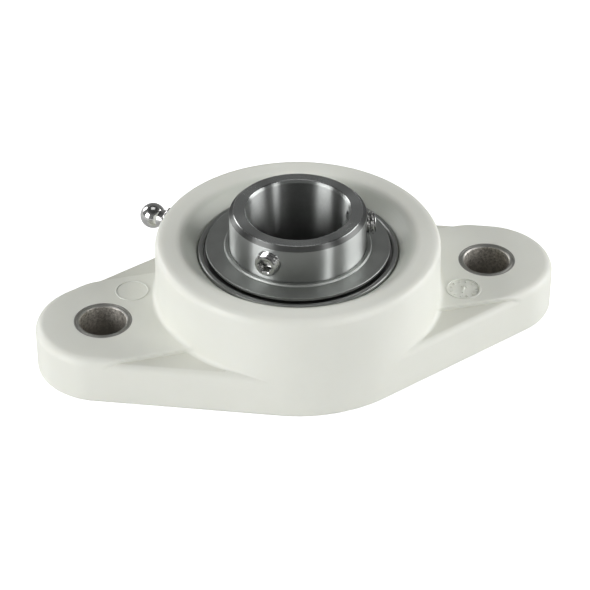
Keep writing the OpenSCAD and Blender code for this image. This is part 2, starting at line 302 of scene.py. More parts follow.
def rounded_profile(corners):
    """Points and normals along a closed outline of (radius, height, rounding) corners.

    Returns points with a normal for the stretch before each one and a normal for the stretch after.
    """
    soft_bend, arc_step, straight = math.radians(15), 12, 1e-6
    spots = np.array([c[:2] for c in corners], float)
    if np.sum(spots[:, 0] * np.roll(spots[:, 1], -1) - np.roll(spots[:, 0], -1) * spots[:, 1]) < 0:
        corners, spots = corners[::-1], spots[::-1]
    points, before, after = [], [], []
    for i, (_, _, rounding) in enumerate(corners):
        to_here = spots[i] - spots[i - 1]
        onward = spots[(i + 1) % len(spots)] - spots[i]
        to_here, onward = to_here / np.linalg.norm(to_here), onward / np.linalg.norm(onward)
        normal_in = np.array([to_here[1], -to_here[0]])
        normal_out = np.array([onward[1], -onward[0]])
        bend = math.atan2(to_here[0] * onward[1] - to_here[1] * onward[0], to_here @ onward)
        if rounding == 0 or abs(bend) < straight:
            shared = normal_in + normal_out
            shared = shared / np.linalg.norm(shared)
            soft = abs(bend) < soft_bend
            points.append(spots[i])
            before.append(shared if soft else normal_in)
            after.append(shared if soft else normal_out)
            continue
        steps = max(2, round(abs(math.degrees(bend)) / arc_step))
        arc_r = math.copysign(rounding, bend)
        centre = spots[i] - to_here * rounding * math.tan(abs(bend) / 2) - arc_r * normal_in
        for k in range(steps + 1):
            angle = bend * k / steps
            normal = np.array([
                normal_in[0] * math.cos(angle) - normal_in[1] * math.sin(angle),
                normal_in[0] * math.sin(angle) + normal_in[1] * math.cos(angle),
            ])
            points.append(centre + arc_r * normal)
            before.append(normal)
            after.append(normal)
    return np.array(points), np.array(before), np.array(after)


def even_turns(segments):
    """Angles round a full turn."""
    return np.arange(segments) * 2 * np.pi / segments


def lathe(corners, middle=(0, 0), segments=192):
    """A closed outline of (radius, height, rounding) corners turned round an upright axis."""
    points, before, after = rounded_profile(corners)
    turns = even_turns(segments)
    around = np.stack([np.cos(turns), np.sin(turns)], axis=1)

    def spun(profile, offset=(0, 0)):
        flat = profile[:, None, 0, None] * around[None]
        upright = np.repeat(profile[:, None, 1, None], segments, axis=1)
        return np.concatenate([flat + np.array(offset), upright], axis=2)

    row, column = np.meshgrid(np.arange(len(points)), np.arange(segments), indexing="ij")
    next_row, next_column = (row + 1) % len(points), (column + 1) % segments
    faces = np.stack([
        row * segments + column, row * segments + next_column,
        next_row * segments + next_column, next_row * segments + column,
    ], axis=-1).reshape(-1, 4)
    start, end = spun(after), spun(before)
    normals = np.stack([
        start[row, column], start[row, next_column], end[next_row, next_column], end[next_row, column]
    ], axis=2).reshape(-1, 3)
    return spun(points, middle).reshape(-1, 3), faces, normals


def skin(rows, looped=False):
    """A shell over rings of points, each ring an array of (x, y, z), from the low end to the high end.

    Both ends are capped. Where it is looped, the last ring joins the first instead.
    """
    rings = np.array(rows)
    number, segments = rings.shape[:2]
    wall_count = number if looped else number - 1
    row, column = np.meshgrid(np.arange(wall_count), np.arange(segments), indexing="ij")
    next_row, next_column = (row + 1) % number, (column + 1) % segments
    walls = np.stack([
        row * segments + column, row * segments + next_column,
        next_row * segments + next_column, next_row * segments + column,
    ], axis=-1).reshape(-1, 4).tolist()
    if looped:
        return rings.reshape(-1, 3), walls, None
    vertices = np.concatenate([rings.reshape(-1, 3), rings[[0, -1]].mean(axis=1)])
    low_middle, high_middle = number * segments, number * segments + 1
    last = (number - 1) * segments
    low_cap = [[(k + 1) % segments, k, low_middle] for k in range(segments)]
    high_cap = [[last + k, last + (k + 1) % segments, high_middle] for k in range(segments)]
    return vertices, [*walls, *low_cap, *high_cap], None


def ring_points(radius, height, turns):
    """Points round +Z at radii and heights that may change with the turn."""
    radius, height = np.broadcast_to(radius, turns.shape), np.broadcast_to(height, turns.shape)
    return np.stack([radius * np.cos(turns), radius * np.sin(turns), height], axis=1)


def hexagon(across_flats, turns):
    """Radius of a hexagon at each turn, its corners a little rounded."""
    corner_round = 0.06
    from_flat = (turns + np.pi / 6) % (np.pi / 3) - np.pi / 6
    corner_r = across_flats / math.sqrt(3)
    return np.minimum(across_flats / 2 / np.cos(from_flat), corner_r - corner_round)


# ---- Materials ----

class Shader:
    """A node material with one Principled shader, and short ways to add the nodes that feed it.

    Inputs are given as keywords, with an underscore for each space in the socket's name. Each takes a
    value or the socket that feeds it.
    """

    def __init__(self, name, **settings):
        self.material = bpy.data.materials.new(name)
        self.material.use_nodes = True
        self.tree = self.material.node_tree
        self.principled = self.tree.nodes["Principled BSDF"]
        self.feed_all(self.principled, settings)

    def feed(self, socket, value):
        if isinstance(value, bpy.types.NodeSocket):
            self.tree.links.new(value, socket)
        else:
            socket.default_value = value

    def feed_all(self, node, inputs):
        for key, value in inputs.items():
            self.feed(node.inputs[key.replace("_", " ")], value)

    def surface(self, **inputs):
        """Feeds the Principled shader."""
        self.feed_all(self.principled, inputs)

    def node(self, kind, **inputs):
        made = self.tree.nodes.new("ShaderNode" + kind)
        self.feed_all(made, inputs)
        return made

    def math(self, operation, *values):
        made = self.node("Math")
        made.operation = operation
        for socket, value in zip(made.inputs, values):
            self.feed(socket, value)
        return made.outputs[0]

    def noise(self, vector, scale, detail=3.0, roughness=0.5):
        made = self.node("TexNoise", Vector=vector, Scale=scale, Detail=detail, Roughness=roughness)
        return made.outputs[0]

    def place(self):
        """Position on the piece, in metres, which moves with the piece."""
        return self.node("TexCoord").outputs["Object"]

    def stretched(self, vector, *scale):
        """A vector scaled along each axis."""
        return self.node("Mapping", Vector=vector, Scale=scale).outputs[0]

    def parts(self, vector):
        """The x, y and z of a vector."""
        return self.node("SeparateXYZ", Vector=vector).outputs

    def between(self, value, low=0.0, high=1.0, start=0.0, end=1.0):
        """Goes from low to high as a value goes from start to end."""
        made = self.node("MapRange", Value=value, From_Min=start, From_Max=end, To_Min=low, To_Max=high)
        return made.outputs[0]

    def blend(self, part, low, high):
        """A colour between two fixed colours as part goes from 0 to 1."""
        ramp = self.node("ValToRGB", Fac=part)
        ramp.color_ramp.elements[0].color = (*low, 1)
        ramp.color_ramp.elements[1].color = (*high, 1)
        return ramp.outputs[0]

    def mix(self, part, low, high):
        """A colour between two sockets or colours as part goes from 0 to 1."""
        return self.node("MixRGB", Fac=part, Color1=low, Color2=high).outputs[0]

    def bump(self, *layers):
        """Bump from layers of (height, depth in metres), each on top of the last."""
        normal = None
        for height, depth in layers:
            made = self.node("Bump", Height=height, Distance=depth, Strength=1.0)
            if normal is not None:
                self.feed(made.inputs["Normal"], normal)
            normal = made.outputs[0]
        self.feed(self.principled.inputs["Normal"], normal)

    def around(self, middle=0.0):
        """Coordinates that run along the turning marks: slow round the axis, quick across it.

        The axis is upright, at the distance middle either side of the frame's origin along X.
        """
        metres_a_radian = 0.0012
        x, y, z = self.parts(self.place())
        if middle:
            x = self.math("SUBTRACT", self.math("ABSOLUTE", x), middle)
        x_squared, y_squared = self.math("MULTIPLY", x, x), self.math("MULTIPLY", y, y)
        radius = self.math("SQRT", self.math("ADD", x_squared, y_squared))
        along = self.math("MULTIPLY", self.math("ARCTAN2", y, x), metres_a_radian)
        return self.node("CombineXYZ", X=along, Y=radius, Z=z).outputs[0]


def darker(colour, shade):
    return tuple(part * shade for part in colour)


def turned_steel(name, colour, shade, rough, groove, anisotropy, scale=4200, middle=0.0,
                 front=None, bore=None):
    """Steel with fine turning or grinding marks round an upright axis, groove metres deep.

    shade darkens the colour in its cloudy patches. front describes an end with a finer face and an
    outer chamfer left as turned, which is rougher and carries painted shade, a darker colour that
    tones down its highlights. bore describes painted shade and light on a wall: darker towards its
    back and lighter towards its mouth. Their heights and radii are in metres.
    """
    mark_swing, cloud_swing = 0.05, 0.04
    face_finish, chamfer_finish = 0.55, 1.25
    speckle_low, speckle_high = 0.35, 0.65
    s = Shader(name, Metallic=1.0, Anisotropic=anisotropy, Anisotropic_Rotation=0.25)
    place, around = s.place(), s.around(middle)
    marks = s.noise(around, scale, 4.0, 0.6)
    cloud = s.noise(place, 160, 3.0)
    metal = s.blend(cloud, darker(colour, shade), colour)
    roughness = s.math("ADD", s.between(marks, rough - mark_swing, rough + mark_swing),
                       s.between(cloud, -cloud_swing, cloud_swing))
    radius, height = s.parts(around)[1], s.parts(place)[2]
    if front is not None:
        on_face = s.math("GREATER_THAN", height, front["face_from"])
        on_chamfer = s.math("SUBTRACT", s.math("GREATER_THAN", height, front["chamfer_from"]), on_face)
        on_chamfer = s.math("MULTIPLY", on_chamfer, s.math("GREATER_THAN", radius, front["chamfer_from_r"]))
        roughness = s.math("MULTIPLY", roughness, s.between(on_face, 1.0, face_finish))
        roughness = s.math("MULTIPLY", roughness, s.between(on_chamfer, 1.0, chamfer_finish))
        # Painted shade: the chamfer takes a darker colour that tones down its highlights.
        metal = s.mix(on_chamfer, metal, (*front["chamfer_colour"], 1))
    # Painted shade and light in a bore: the colour goes from dark at its back to light at its mouth, flecked by a
    # speckle.
    if bore is not None:
        in_bore = s.math("LESS_THAN", radius, bore["reach"])
        shallow = s.between(height, start=bore["dark_at"], end=bore["light_at"])
        speckle = s.between(s.noise(place, 1500, 4.0, 0.7), low=1 - bore["speckled"],
                            start=speckle_low, end=speckle_high)
        wall = s.blend(s.math("MULTIPLY", speckle, shallow), bore["dark"], bore["light"])
        metal = s.mix(in_bore, metal, wall)
    s.surface(Base_Color=metal, Roughness=roughness)
    s.bump((marks, groove))
    return s.material


def satin_steel(name, colour, shade, rough, grain, grain_scale=5200):
    """Pressed or blasted steel with an even fine grain, grain metres deep."""
    s = Shader(name, Metallic=1.0)
    place = s.place()
    cloud = s.noise(place, 220, 3.0)
    s.surface(Base_Color=s.blend(cloud, darker(colour, shade), colour),
              Roughness=s.between(cloud, rough - 0.05, rough + 0.06))
    s.bump((s.noise(place, grain_scale, 2.0, 0.6), grain))
    return s.material


def moulded_plastic(name):
    """White glass-filled polyester: fine satin skin, faint clouding, slight translucence.

    Turning marks run round the funnel at the front. The funnel and the flange's lower level carry
    painted shade: their white is darker and duller.
    """
    dim_white, full_white = (0.775, 0.785, 0.72), (0.835, 0.845, 0.785)
    painted_funnel_shade, painted_lower_shade = (0.71, 0.735, 0.665, 1), (0.74, 0.745, 0.68, 1)
    funnel_from, funnel_full = 0.0292, 0.0280
    level_slack, tilted, level = 0.0003, 0.95, 0.995
    flow_deep, grain_deep, turning_deep = 0.000012, 0.000006, 0.00004
    s = Shader(name, Specular_IOR_Level=0.42, Subsurface_Weight=0.12, Subsurface_Scale=0.0012,
               Subsurface_Radius=(1.0, 0.9, 0.75))
    place, around = s.place(), s.around()
    cloud = s.noise(place, 55, 4.0, 0.55)
    flow = s.noise(s.stretched(place, 0.35, 1.0, 2.2), 260, 3.0)
    grain = s.noise(place, 3200, 3.0, 0.6)
    in_funnel = s.between(s.parts(around)[1], start=funnel_from, end=funnel_full)
    turning = s.math("MULTIPLY", s.noise(around, 2600, 2.0), in_funnel)
    off_level = s.math("ABSOLUTE", s.math("SUBTRACT", s.parts(place)[2], flange_h * MM))
    upward = s.parts(s.node("TexCoord").outputs["Normal"])[2]
    on_lower = s.math("MULTIPLY", s.math("LESS_THAN", off_level, level_slack),
                      s.between(upward, start=tilted, end=level))
    # Painted shade: the white darkens into the funnel's hollow.
    colour = s.mix(in_funnel, s.blend(cloud, dim_white, full_white), painted_funnel_shade)
    # Painted shade: the flange's lower level is darker than the platform above it.
    colour = s.mix(on_lower, colour, painted_lower_shade)
    s.surface(Base_Color=colour, Roughness=s.between(flow, 0.33, 0.45))
    s.bump((flow, flow_deep), (grain, grain_deep), (turning, turning_deep))
    return s.material


def rubber(name):
    """Black rubber with a faint bloom and a fine grain."""
    s = Shader(name, Specular_IOR_Level=0.35)
    place = s.place()
    cloud = s.noise(place, 300, 3.0)
    s.surface(Base_Color=s.blend(cloud, (0.012, 0.012, 0.013), (0.03, 0.03, 0.03)),
              Roughness=s.between(cloud, 0.55, 0.7))
    s.bump((s.noise(place, 4000, 2.0), 0.000008))
    return s.material


def polished_steel(name, colour, rough):
    """Bright lapped steel with a trace of haze and hairline scratches."""
    shade, haze_rough, scratch_deep = 0.9, 0.08, 0.0000015
    s = Shader(name, Metallic=1.0)
    place = s.place()
    haze = s.noise(place, 420, 4.0, 0.6)
    scratch = s.noise(s.stretched(place, 1.0, 0.12, 0.5), 5200, 2.0)
    s.surface(Base_Color=s.blend(haze, darker(colour, shade), colour),
              Roughness=s.between(haze, rough, rough + haze_rough))
    s.bump((scratch, scratch_deep))
    return s.material


plastic = moulded_plastic("white_moulded_polyester")
bush_metal = turned_steel(
    "dull_turned_bush_steel", (0.44, 0.435, 0.41), shade=0.72, rough=0.55, groove=0.00003,
    anisotropy=0.3, scale=1500, middle=bolt_x * MM,
    # The bush bore's colours are painted shade at its back and painted light, far paler than the steel, towards
    # its mouth.
    bore={"reach": 0.00585, "dark_at": 0.003, "light_at": 0.011, "dark": (0.34, 0.32, 0.29),
          "light": (0.84, 0.81, 0.75), "speckled": 1.0},
)
hub_metal = turned_steel(
    "ground_inner_ring_steel", (0.48, 0.495, 0.485), shade=0.86, rough=0.4, groove=0.000004,
    anisotropy=1.0,
    # The chamfer's colour is painted shade, darker than the ground steel.
    front={"face_from": (ball_plane + hub_high - 0.15) * MM,
           "chamfer_from": (ball_plane + hub_high - 1.12) * MM,
           "chamfer_from_r": 0.0145, "chamfer_colour": (0.22, 0.225, 0.22)},
    # The inner ring's bore colour is painted shade, near black at its back.
    bore={"reach": 0.0127, "dark_at": 0.017, "light_at": 0.031, "dark": (0.1, 0.1, 0.1),
          "light": (0.5, 0.515, 0.505), "speckled": 0.1},
)
ring_metal = turned_steel("ground_outer_ring_steel", (0.42, 0.43, 0.42), shade=0.85, rough=0.36,
                          groove=0.000004, anisotropy=0.4)
flinger_metal = satin_steel("pressed_flinger_steel", (0.42, 0.435, 0.42), shade=0.8, rough=0.45,
                            grain=0.000025, grain_scale=2400)
seal_metal = satin_steel("pressed_seal_steel", (0.42, 0.42, 0.42), shade=0.85, rough=0.38, grain=0.000005)
cage_metal = satin_steel("pressed_cage_steel", (0.58, 0.58, 0.56), shade=0.88, rough=0.34, grain=0.000004)
nipple_metal = polished_steel("bright_nipple_steel", (0.66, 0.66, 0.65), rough=0.12)
screw_metal = polished_steel("rolled_screw_steel", (0.5, 0.5, 0.49), rough=0.13)
ball_metal = polished_steel("lapped_ball_steel", (0.78, 0.78, 0.78), rough=0.05)
wire_metal = polished_steel("drawn_spring_steel", (0.6, 0.6, 0.6), rough=0.2)
lip_rubber = rubber("black_nitrile_rubber")


# ---- Housing ----

flange_edge, lug_edge, base_edge, step_edge = 1.8, 2.2, 1.0, 0.3
flange_fillet, fillet_reach = 1.2, 4.0
draft_from, draft_in = 9.0, 0.25
rim_edge = 2.4
rim_corner, rim_fall = (31.0, body_h), 9.0
rim_blend, rim_blend_from, rim_blend_to = 1.5, 26, 33
funnel_corner, funnel_fall, funnel_edge = (27.5, body_h - 1.6), 43.2, 1.0
seat_r, seat_edge_rise = 26.05, 7.7
back_r = math.sqrt(seat_r ** 2 - seat_edge_rise ** 2)
slot_half_w, slot_r = 8.7, 26.3
seat_soft, opening_soft, slot_soft = 0.1, 0.5, 0.3
groove_in, groove_out, groove_half_w, groove_top = 24.2, 27.6, 1.55, 18.46
nipple_hole_r, nipple_hole_from = 3.0, 29.6
grease_hole_r, grease_hole_from = 0.9, 24.0
spot_face_r, spot_face_at = 4.44, body_r - 0.5
mark_x, mark_y, mark_r, mark_deep = 40.0, 10.3, 4.2, 0.22


def plan_distance(points):
    """Distance in plan to the flange's outline: the body and two lug ends, joined by tangent walls."""
    along, aside = np.abs(points[..., 0]), np.abs(points[..., 1])
    lean = (body_r - lug_r) / bolt_x
    upright = math.sqrt(1 - lean * lean)
    station = upright * along - lean * aside
    wall = upright * aside + lean * along - body_r
    by_lug = np.hypot(aside, along - bolt_x) - lug_r
    by_body = np.hypot(aside, along) - body_r
    return np.where(station < 0, by_body, np.where(station > upright * bolt_x, by_lug, wall))


def housing_field(points):
    x, y, z = np.moveaxis(points, -1, 0)
    radius = np.hypot(x, y)
    plan = plan_distance(points)
    above_base = base_edge + 1 - z
    flange = both(both(plan, z - flange_h, flange_edge), -z, base_edge)
    platform = both(both(plan, z - platform_h, lug_edge), np.abs(y) - lug_r, step_edge)
    flange = np.minimum(flange, np.maximum(platform, above_base))
    wall_r = body_r - draft_in * np.clip((z - draft_from) / (body_h - draft_from), 0, 1)
    body = np.maximum(both(radius - wall_r, z - body_h, rim_edge), above_base)
    solid = either(flange, body, flange_fillet * smooth_step(0, fillet_reach, -plan))
    rim_soft = rim_blend * smooth_step(rim_blend_from, rim_blend_to, radius) + 0.01
    solid = both(solid, slope(radius, z, rim_corner, rim_fall), rim_soft)
    solid = both(solid, slope(radius, z, funnel_corner, funnel_fall), funnel_edge)
    solid = cut(solid, np.hypot(radius, z - ball_plane) - seat_r, seat_soft)
    solid = cut(solid, np.maximum(radius - back_r, z - ball_plane), opening_soft)
    slots = np.maximum(np.maximum(np.abs(y) - slot_half_w, radius - slot_r), z - ball_plane)
    solid = cut(solid, slots, slot_soft)
    groove = np.where(z < groove_top, np.abs(y), np.hypot(y, z - groove_top)) - groove_half_w
    solid = cut(solid, np.maximum(groove, np.maximum(groove_in - x, x - groove_out)))
    for hole_r, hole_from in ((nipple_hole_r, nipple_hole_from), (grease_hole_r, grease_hole_from),
                              (spot_face_r, spot_face_at)):
        solid = cut(solid, drill(points, nipple_way, grease_h, hole_r, hole_from))
    solid = cut(solid, np.hypot(np.abs(x) - bolt_x, y) - bush_r)
    mark = np.hypot(x - mark_x, y + mark_y) - mark_r
    return cut(solid, np.maximum(mark, platform_h - mark_deep - z))


def raised_bar(middle, turn, length, width, low, high):
    """A small raised bar on a level face, its top a little smaller than its foot."""
    edge, top_inset = 0.03, 0.07
    along = np.array([math.cos(turn), math.sin(turn), 0])
    aside = np.array([-math.sin(turn), math.cos(turn), 0])
    corners = []
    for height, inset in ((low, 0.0), (high - edge, edge), (high, top_inset)):
        for u, v in ((-1, -1), (1, -1), (1, 1), (-1, 1)):
            half_l, half_w = length / 2 - inset, width / 2 - inset
            corners.append(np.array([*middle, height]) + u * half_l * along + v * half_w * aside)
    vertices = np.array(corners)
    faces = [[3, 2, 1, 0], [8, 9, 10, 11]]
    for k in (0, 4):
        faces += [[k + i, k + (i + 1) % 4, k + 4 + (i + 1) % 4, k + 4 + i] for i in range(4)]
    normals = []
    for face in faces:
        a, b, c = vertices[face[:3]]
        normal = np.cross(b - a, c - b)
        normals += [normal / np.linalg.norm(normal)] * 4
    return vertices, faces, np.array(normals)


def mould_marks():
    """A raised ring on either platform. The right one has plain ticks and a pointer in its sunk disc."""
    sunk = platform_h - mark_deep
    foot, bar_top = sunk - 0.1, sunk + 0.25
    ring_top, ring_soft = platform_h + 0.15, 0.08
    tick_count, tick_at, tick_length, tick_width = 12, 3.15, 0.8, 0.34
    pointer_turn, pointer_length, pointer_width = 1.1, 3.2, 0.42
    barb_lean, barb_length, barb_width = 2.5, 1.2, 0.36
    marks = []
    for side, inner, outer in ((-1, 3.8, 4.2), (1, mark_r - 0.2, mark_r + 0.25)):
        section = [(inner, foot, 0), (outer, foot, 0),
                   (outer, ring_top, ring_soft), (inner, ring_top, ring_soft)]
        marks.append(lathe(section, middle=(side * mark_x, -side * mark_y), segments=96))
    for k in range(tick_count):
        turn = 2 * math.pi * k / tick_count
        spot = (mark_x + tick_at * math.cos(turn), -mark_y + tick_at * math.sin(turn))
        marks.append(raised_bar(spot, turn, tick_length, tick_width, foot, bar_top))
    middle = np.array([mark_x, -mark_y])
    marks.append(raised_bar(middle, pointer_turn, pointer_length, pointer_width, foot, bar_top))
    tip = middle + pointer_length / 2 * np.array([math.cos(pointer_turn), math.sin(pointer_turn)])
    for lean in (-barb_lean, barb_lean):
        turn = pointer_turn + lean
        spot = tip + 0.5 * np.array([math.cos(turn), math.sin(turn)])
        marks.append(raised_bar(spot, turn, barb_length, barb_width, foot, bar_top))
    return marks


def build_housing():
    """The grid is finer at the pin groove, the loading slots, the lug steps, the levels and the rim."""
    pad, step, step_up = 1.07, 0.68, 0.62
    mirrored = [(16.0, 17.4, 0.3), (8.4, 9.0, 0.3), (1.2, 1.9, 0.3)]
    xs = grid_lines(housing_low[0] - pad, housing_high[0] + pad, step, [(24.0, 28.0, 0.36)])
    ys = grid_lines(housing_low[1] - pad, housing_high[1] + pad, step,
                    mirrored + [(-end, -start, fine) for start, end, fine in mirrored])
    zs = grid_lines(-0.913, housing_high[2] + pad, step_up,
                    [(-0.2, 1.2, 0.3), (9.8, 12.3, 0.33), (12.3, 12.8, 0.22), (24.3, 29.2, 0.4)])
    vertices, faces = contour(housing_field, (xs, ys, zs))
    shell = (vertices, faces, field_normals(vertices, faces, housing_field))
    return add_piece("moulded_housing", [shell, *mould_marks()], "housing", plastic,
                     ["housing"])


build_housing()


# ---- Bolt bushes ----

def build_bush(side, name, node):
    """Turned bush, flush with both faces, with a fine groove round its front end."""
    edge, soft, fine = 0.32, 0.04, 0.02
    ring_at, ring_half_w, ring_deep = 6.62, 0.11, 0.14
    outline = [
        (bolt_hole_r, edge, soft), (bolt_hole_r + edge, 0, soft),
        (bush_r, 0, soft), (bush_r, platform_h, soft),
        (ring_at + ring_half_w, platform_h, fine), (ring_at, platform_h - ring_deep, fine),
        (ring_at - ring_half_w, platform_h, fine), (bolt_hole_r + edge, platform_h, soft),
        (bolt_hole_r, platform_h - edge, soft),
    ]
    shell = lathe(outline, middle=(side * bolt_x, 0), segments=128)
    return add_piece(name, [shell], "housing", bush_metal, [node])


build_bush(-1, "left_bolt_bush", "bolt_bush_left")
build_bush(1, "right_bolt_bush", "bolt_bush_right")


# ---- Bearing rings ----

ball_way_r, outer_way_at, inner_way_at = 4.1, 19.4, 19.6
outer_r, land_r = 26.0, 22.2
seal_seat_r, seal_seat_from = 23.2, 5.6
seal_entry_r, seal_entry_fall = 23.7, 35.0
grease_groove_r, grease_groove_half_w = 25.4, 1.0
pin_hole_r, pin_hole_from = 1.55, 24.2


def outer_ring_field(points):
    x, y, z = np.moveaxis(points, -1, 0)
    radius, rise = np.hypot(x, y), z - ball_plane
    depth = np.abs(rise)
    solid = both(np.hypot(radius, rise) - outer_r, depth - ring_half_w, 0.3)
    solid = np.maximum(solid, land_r - radius)
    solid = cut(solid, np.maximum(radius - seal_seat_r, seal_seat_from - depth))
    solid = both(solid, slope(radius, depth, (seal_entry_r, ring_half_w), seal_entry_fall), 0.06)
    solid = cut(solid, np.hypot(radius - outer_way_at, rise) - ball_way_r)
    solid = cut(solid, np.maximum(grease_groove_r - radius, np.abs(z - grease_h) - grease_groove_half_w))
    solid = cut(solid, drill(points, nipple_way, grease_h, grease_hole_r, 0.0))
    return cut(solid, drill(points, X, ball_plane, pin_hole_r, pin_hole_from))


def build_outer_ring():
    """The grid is finer at the seal seats and the grease groove."""
    step, seat_from, seat_to = 0.5, 7.9, 8.7
    turns = np.linspace(0, 2 * np.pi, 241)
    radii = grid_lines(21.953, 26.3, step, [(22.9, 24.9, 0.13), (24.9, 26.2, 0.25)])
    heights = grid_lines(ball_plane - ring_half_w - 0.417, ball_plane + ring_half_w + 0.3, step,
                         [(ball_plane - seat_to, ball_plane - seat_from, 0.13),
                          (ball_plane + seat_from, ball_plane + seat_to, 0.13)])
    vertices, faces = contour(outer_ring_field, (turns, radii, heights), polar=True)
    shell = (vertices, faces, field_normals(vertices, faces, outer_ring_field))
    return add_piece("spherical_outer_ring", [shell], "outer_ring", ring_metal, ["outer_ring"])


def screw_way(side):
    """Outward direction of a set screw."""
    return -np.array(joints[f"set_screw_{side}_travel"]["axis"])


screw_low, screw_high = box_mm("set_screw_left")
screw_h = float(np.mean([screw_low[2], screw_high[2]]))
screw_hole_r = 3.0


def inner_ring_field(points):
    x, y, z = np.moveaxis(points, -1, 0)
    radius, rise = np.hypot(x, y), z - ball_plane
    front_chamfer, chamfer, soft, hole_soft = 1.1, 0.6, 0.12, 0.05
    solid = both(both(radius - hub_r, rise - hub_high), bore_r - radius)
    solid = both(solid, hub_low - rise)
    for corner in (radius - hub_r + rise - hub_high + front_chamfer,
                   radius - hub_r + hub_low - rise + chamfer,
                   bore_r - radius + rise - hub_high + chamfer,
                   bore_r - radius + hub_low - rise + chamfer):
        solid = both(solid, corner / math.sqrt(2), soft)
    solid = cut(solid, np.hypot(radius - inner_way_at, rise) - ball_way_r)
    for side in ("left", "right"):
        solid = cut(solid, drill(points, screw_way(side), screw_h, screw_hole_r, 0.0), hole_soft)
    return solid


def build_inner_ring():
    """The grid is finer at the chamfers and the screw holes."""
    step, step_up = 0.55, 0.6
    low, high = ball_plane + hub_low, ball_plane + hub_high
    turns = np.linspace(0, 2 * np.pi, 257)
    radii = grid_lines(bore_r - 0.217, hub_r + 0.2, step, [(12.3, 13.4, 0.14), (15.5, 17.1, 0.14)])
    heights = grid_lines(low - 0.213, high + 0.2, step_up,
                         [(low - 0.3, low + 0.9, 0.15), (28.4, 35.2, 0.42), (high - 1.5, high + 0.3, 0.14)])
    vertices, faces = contour(inner_ring_field, (turns, radii, heights), polar=True)
    shell = (vertices, faces, field_normals(vertices, faces, inner_ring_field))
    return add_piece("extended_inner_ring", [shell], "inner_ring", hub_metal,
                     ["inner_ring"])


build_outer_ring()
build_inner_ring()


# ---- Flingers ----

def build_flinger(side, name, node):
    """Pressed disc with a collar that grips the inner ring."""
    back, face, collar_top = 8.6, 9.4, 9.9
    collar_foot_r, collar_r, lead_in = 18.15, 17.95, 0.35
    edge, fine, soft = 0.08, 0.02, 0.12
    outline = [
        (hub_r, back, 0.05), (flinger_r - edge, back, fine), (flinger_r, back + edge, fine),
        (flinger_r, face - edge, fine), (flinger_r - edge, face, fine), (collar_foot_r, face, 0.15),
        (collar_r, collar_top, soft), (hub_r + lead_in, collar_top, soft),
        (hub_r, collar_top - lead_in, 0.05),
    ]
    profile = [(radius, ball_plane + side * rise, rounding) for radius, rise, rounding in outline]
    return add_piece(name, [lathe(profile)], "inner_ring", flinger_metal, [node])


build_flinger(1, "front_flinger", "flinger_front")
build_flinger(-1, "back_flinger", "flinger_back")


# ---- Set screws ----

def build_set_screw(side, name, node):
    """A headless M6 screw: a real helical thread, chamfered ends, a cup point and a hexagon socket."""
    way = screw_way(side)
    inner_end, outer_end = reach_mm(node, way)
    crest, root, pitch, rows_a_pitch = 2.95, 2.42, 1.0, 14
    crest_share, flank_fall = 1.28, 2.75
    chamfer = 0.45
    cup_r, cup_edge_r, cup_deep = 0.9, 1.25, 0.45
    socket_across, socket_chamfer, socket_deep = 3.0, 0.3, 2.4
    drill_r, drill_tip_r, drill_deep = 1.25, 0.25, 0.55
    turns = even_turns(96)
    rows = [ring_points(cup_r, inner_end + cup_deep, turns), ring_points(cup_edge_r, inner_end, turns)]
    for height in np.arange(inner_end, outer_end + 0.001, pitch / rows_a_pitch):
        phase = (height / pitch - turns / (2 * np.pi)) % 1
        ridge = np.clip(crest_share - flank_fall * np.abs(phase - 0.5), 0, 1)
        thread = root + (crest - root) * ridge
        limit = crest - chamfer + np.minimum(height - inner_end, outer_end - height)
        rows.append(ring_points(np.minimum(thread, limit), height, turns))
    socket_floor = outer_end - socket_deep
    for radius, height in ((hexagon(socket_across + 0.7, turns), outer_end),
                           (hexagon(socket_across, turns), outer_end - socket_chamfer),
                           (hexagon(socket_across, turns), socket_floor),
                           (drill_r, socket_floor - 0.02), (drill_tip_r, socket_floor - drill_deep)):
        rows.append(ring_points(radius, height, turns))
    return add_piece(name, [skin(rows)], f"set_screw_{side}", screw_metal, [node],
                     place=radial_place(way, screw_h), sharp_angle=32)


build_set_screw("left", "left_set_screw", "set_screw_left")
build_set_screw("right", "right_set_screw", "set_screw_right")


# ---- Grease nipple ----

chamber_r, chamber_floor = 1.45, 34.0


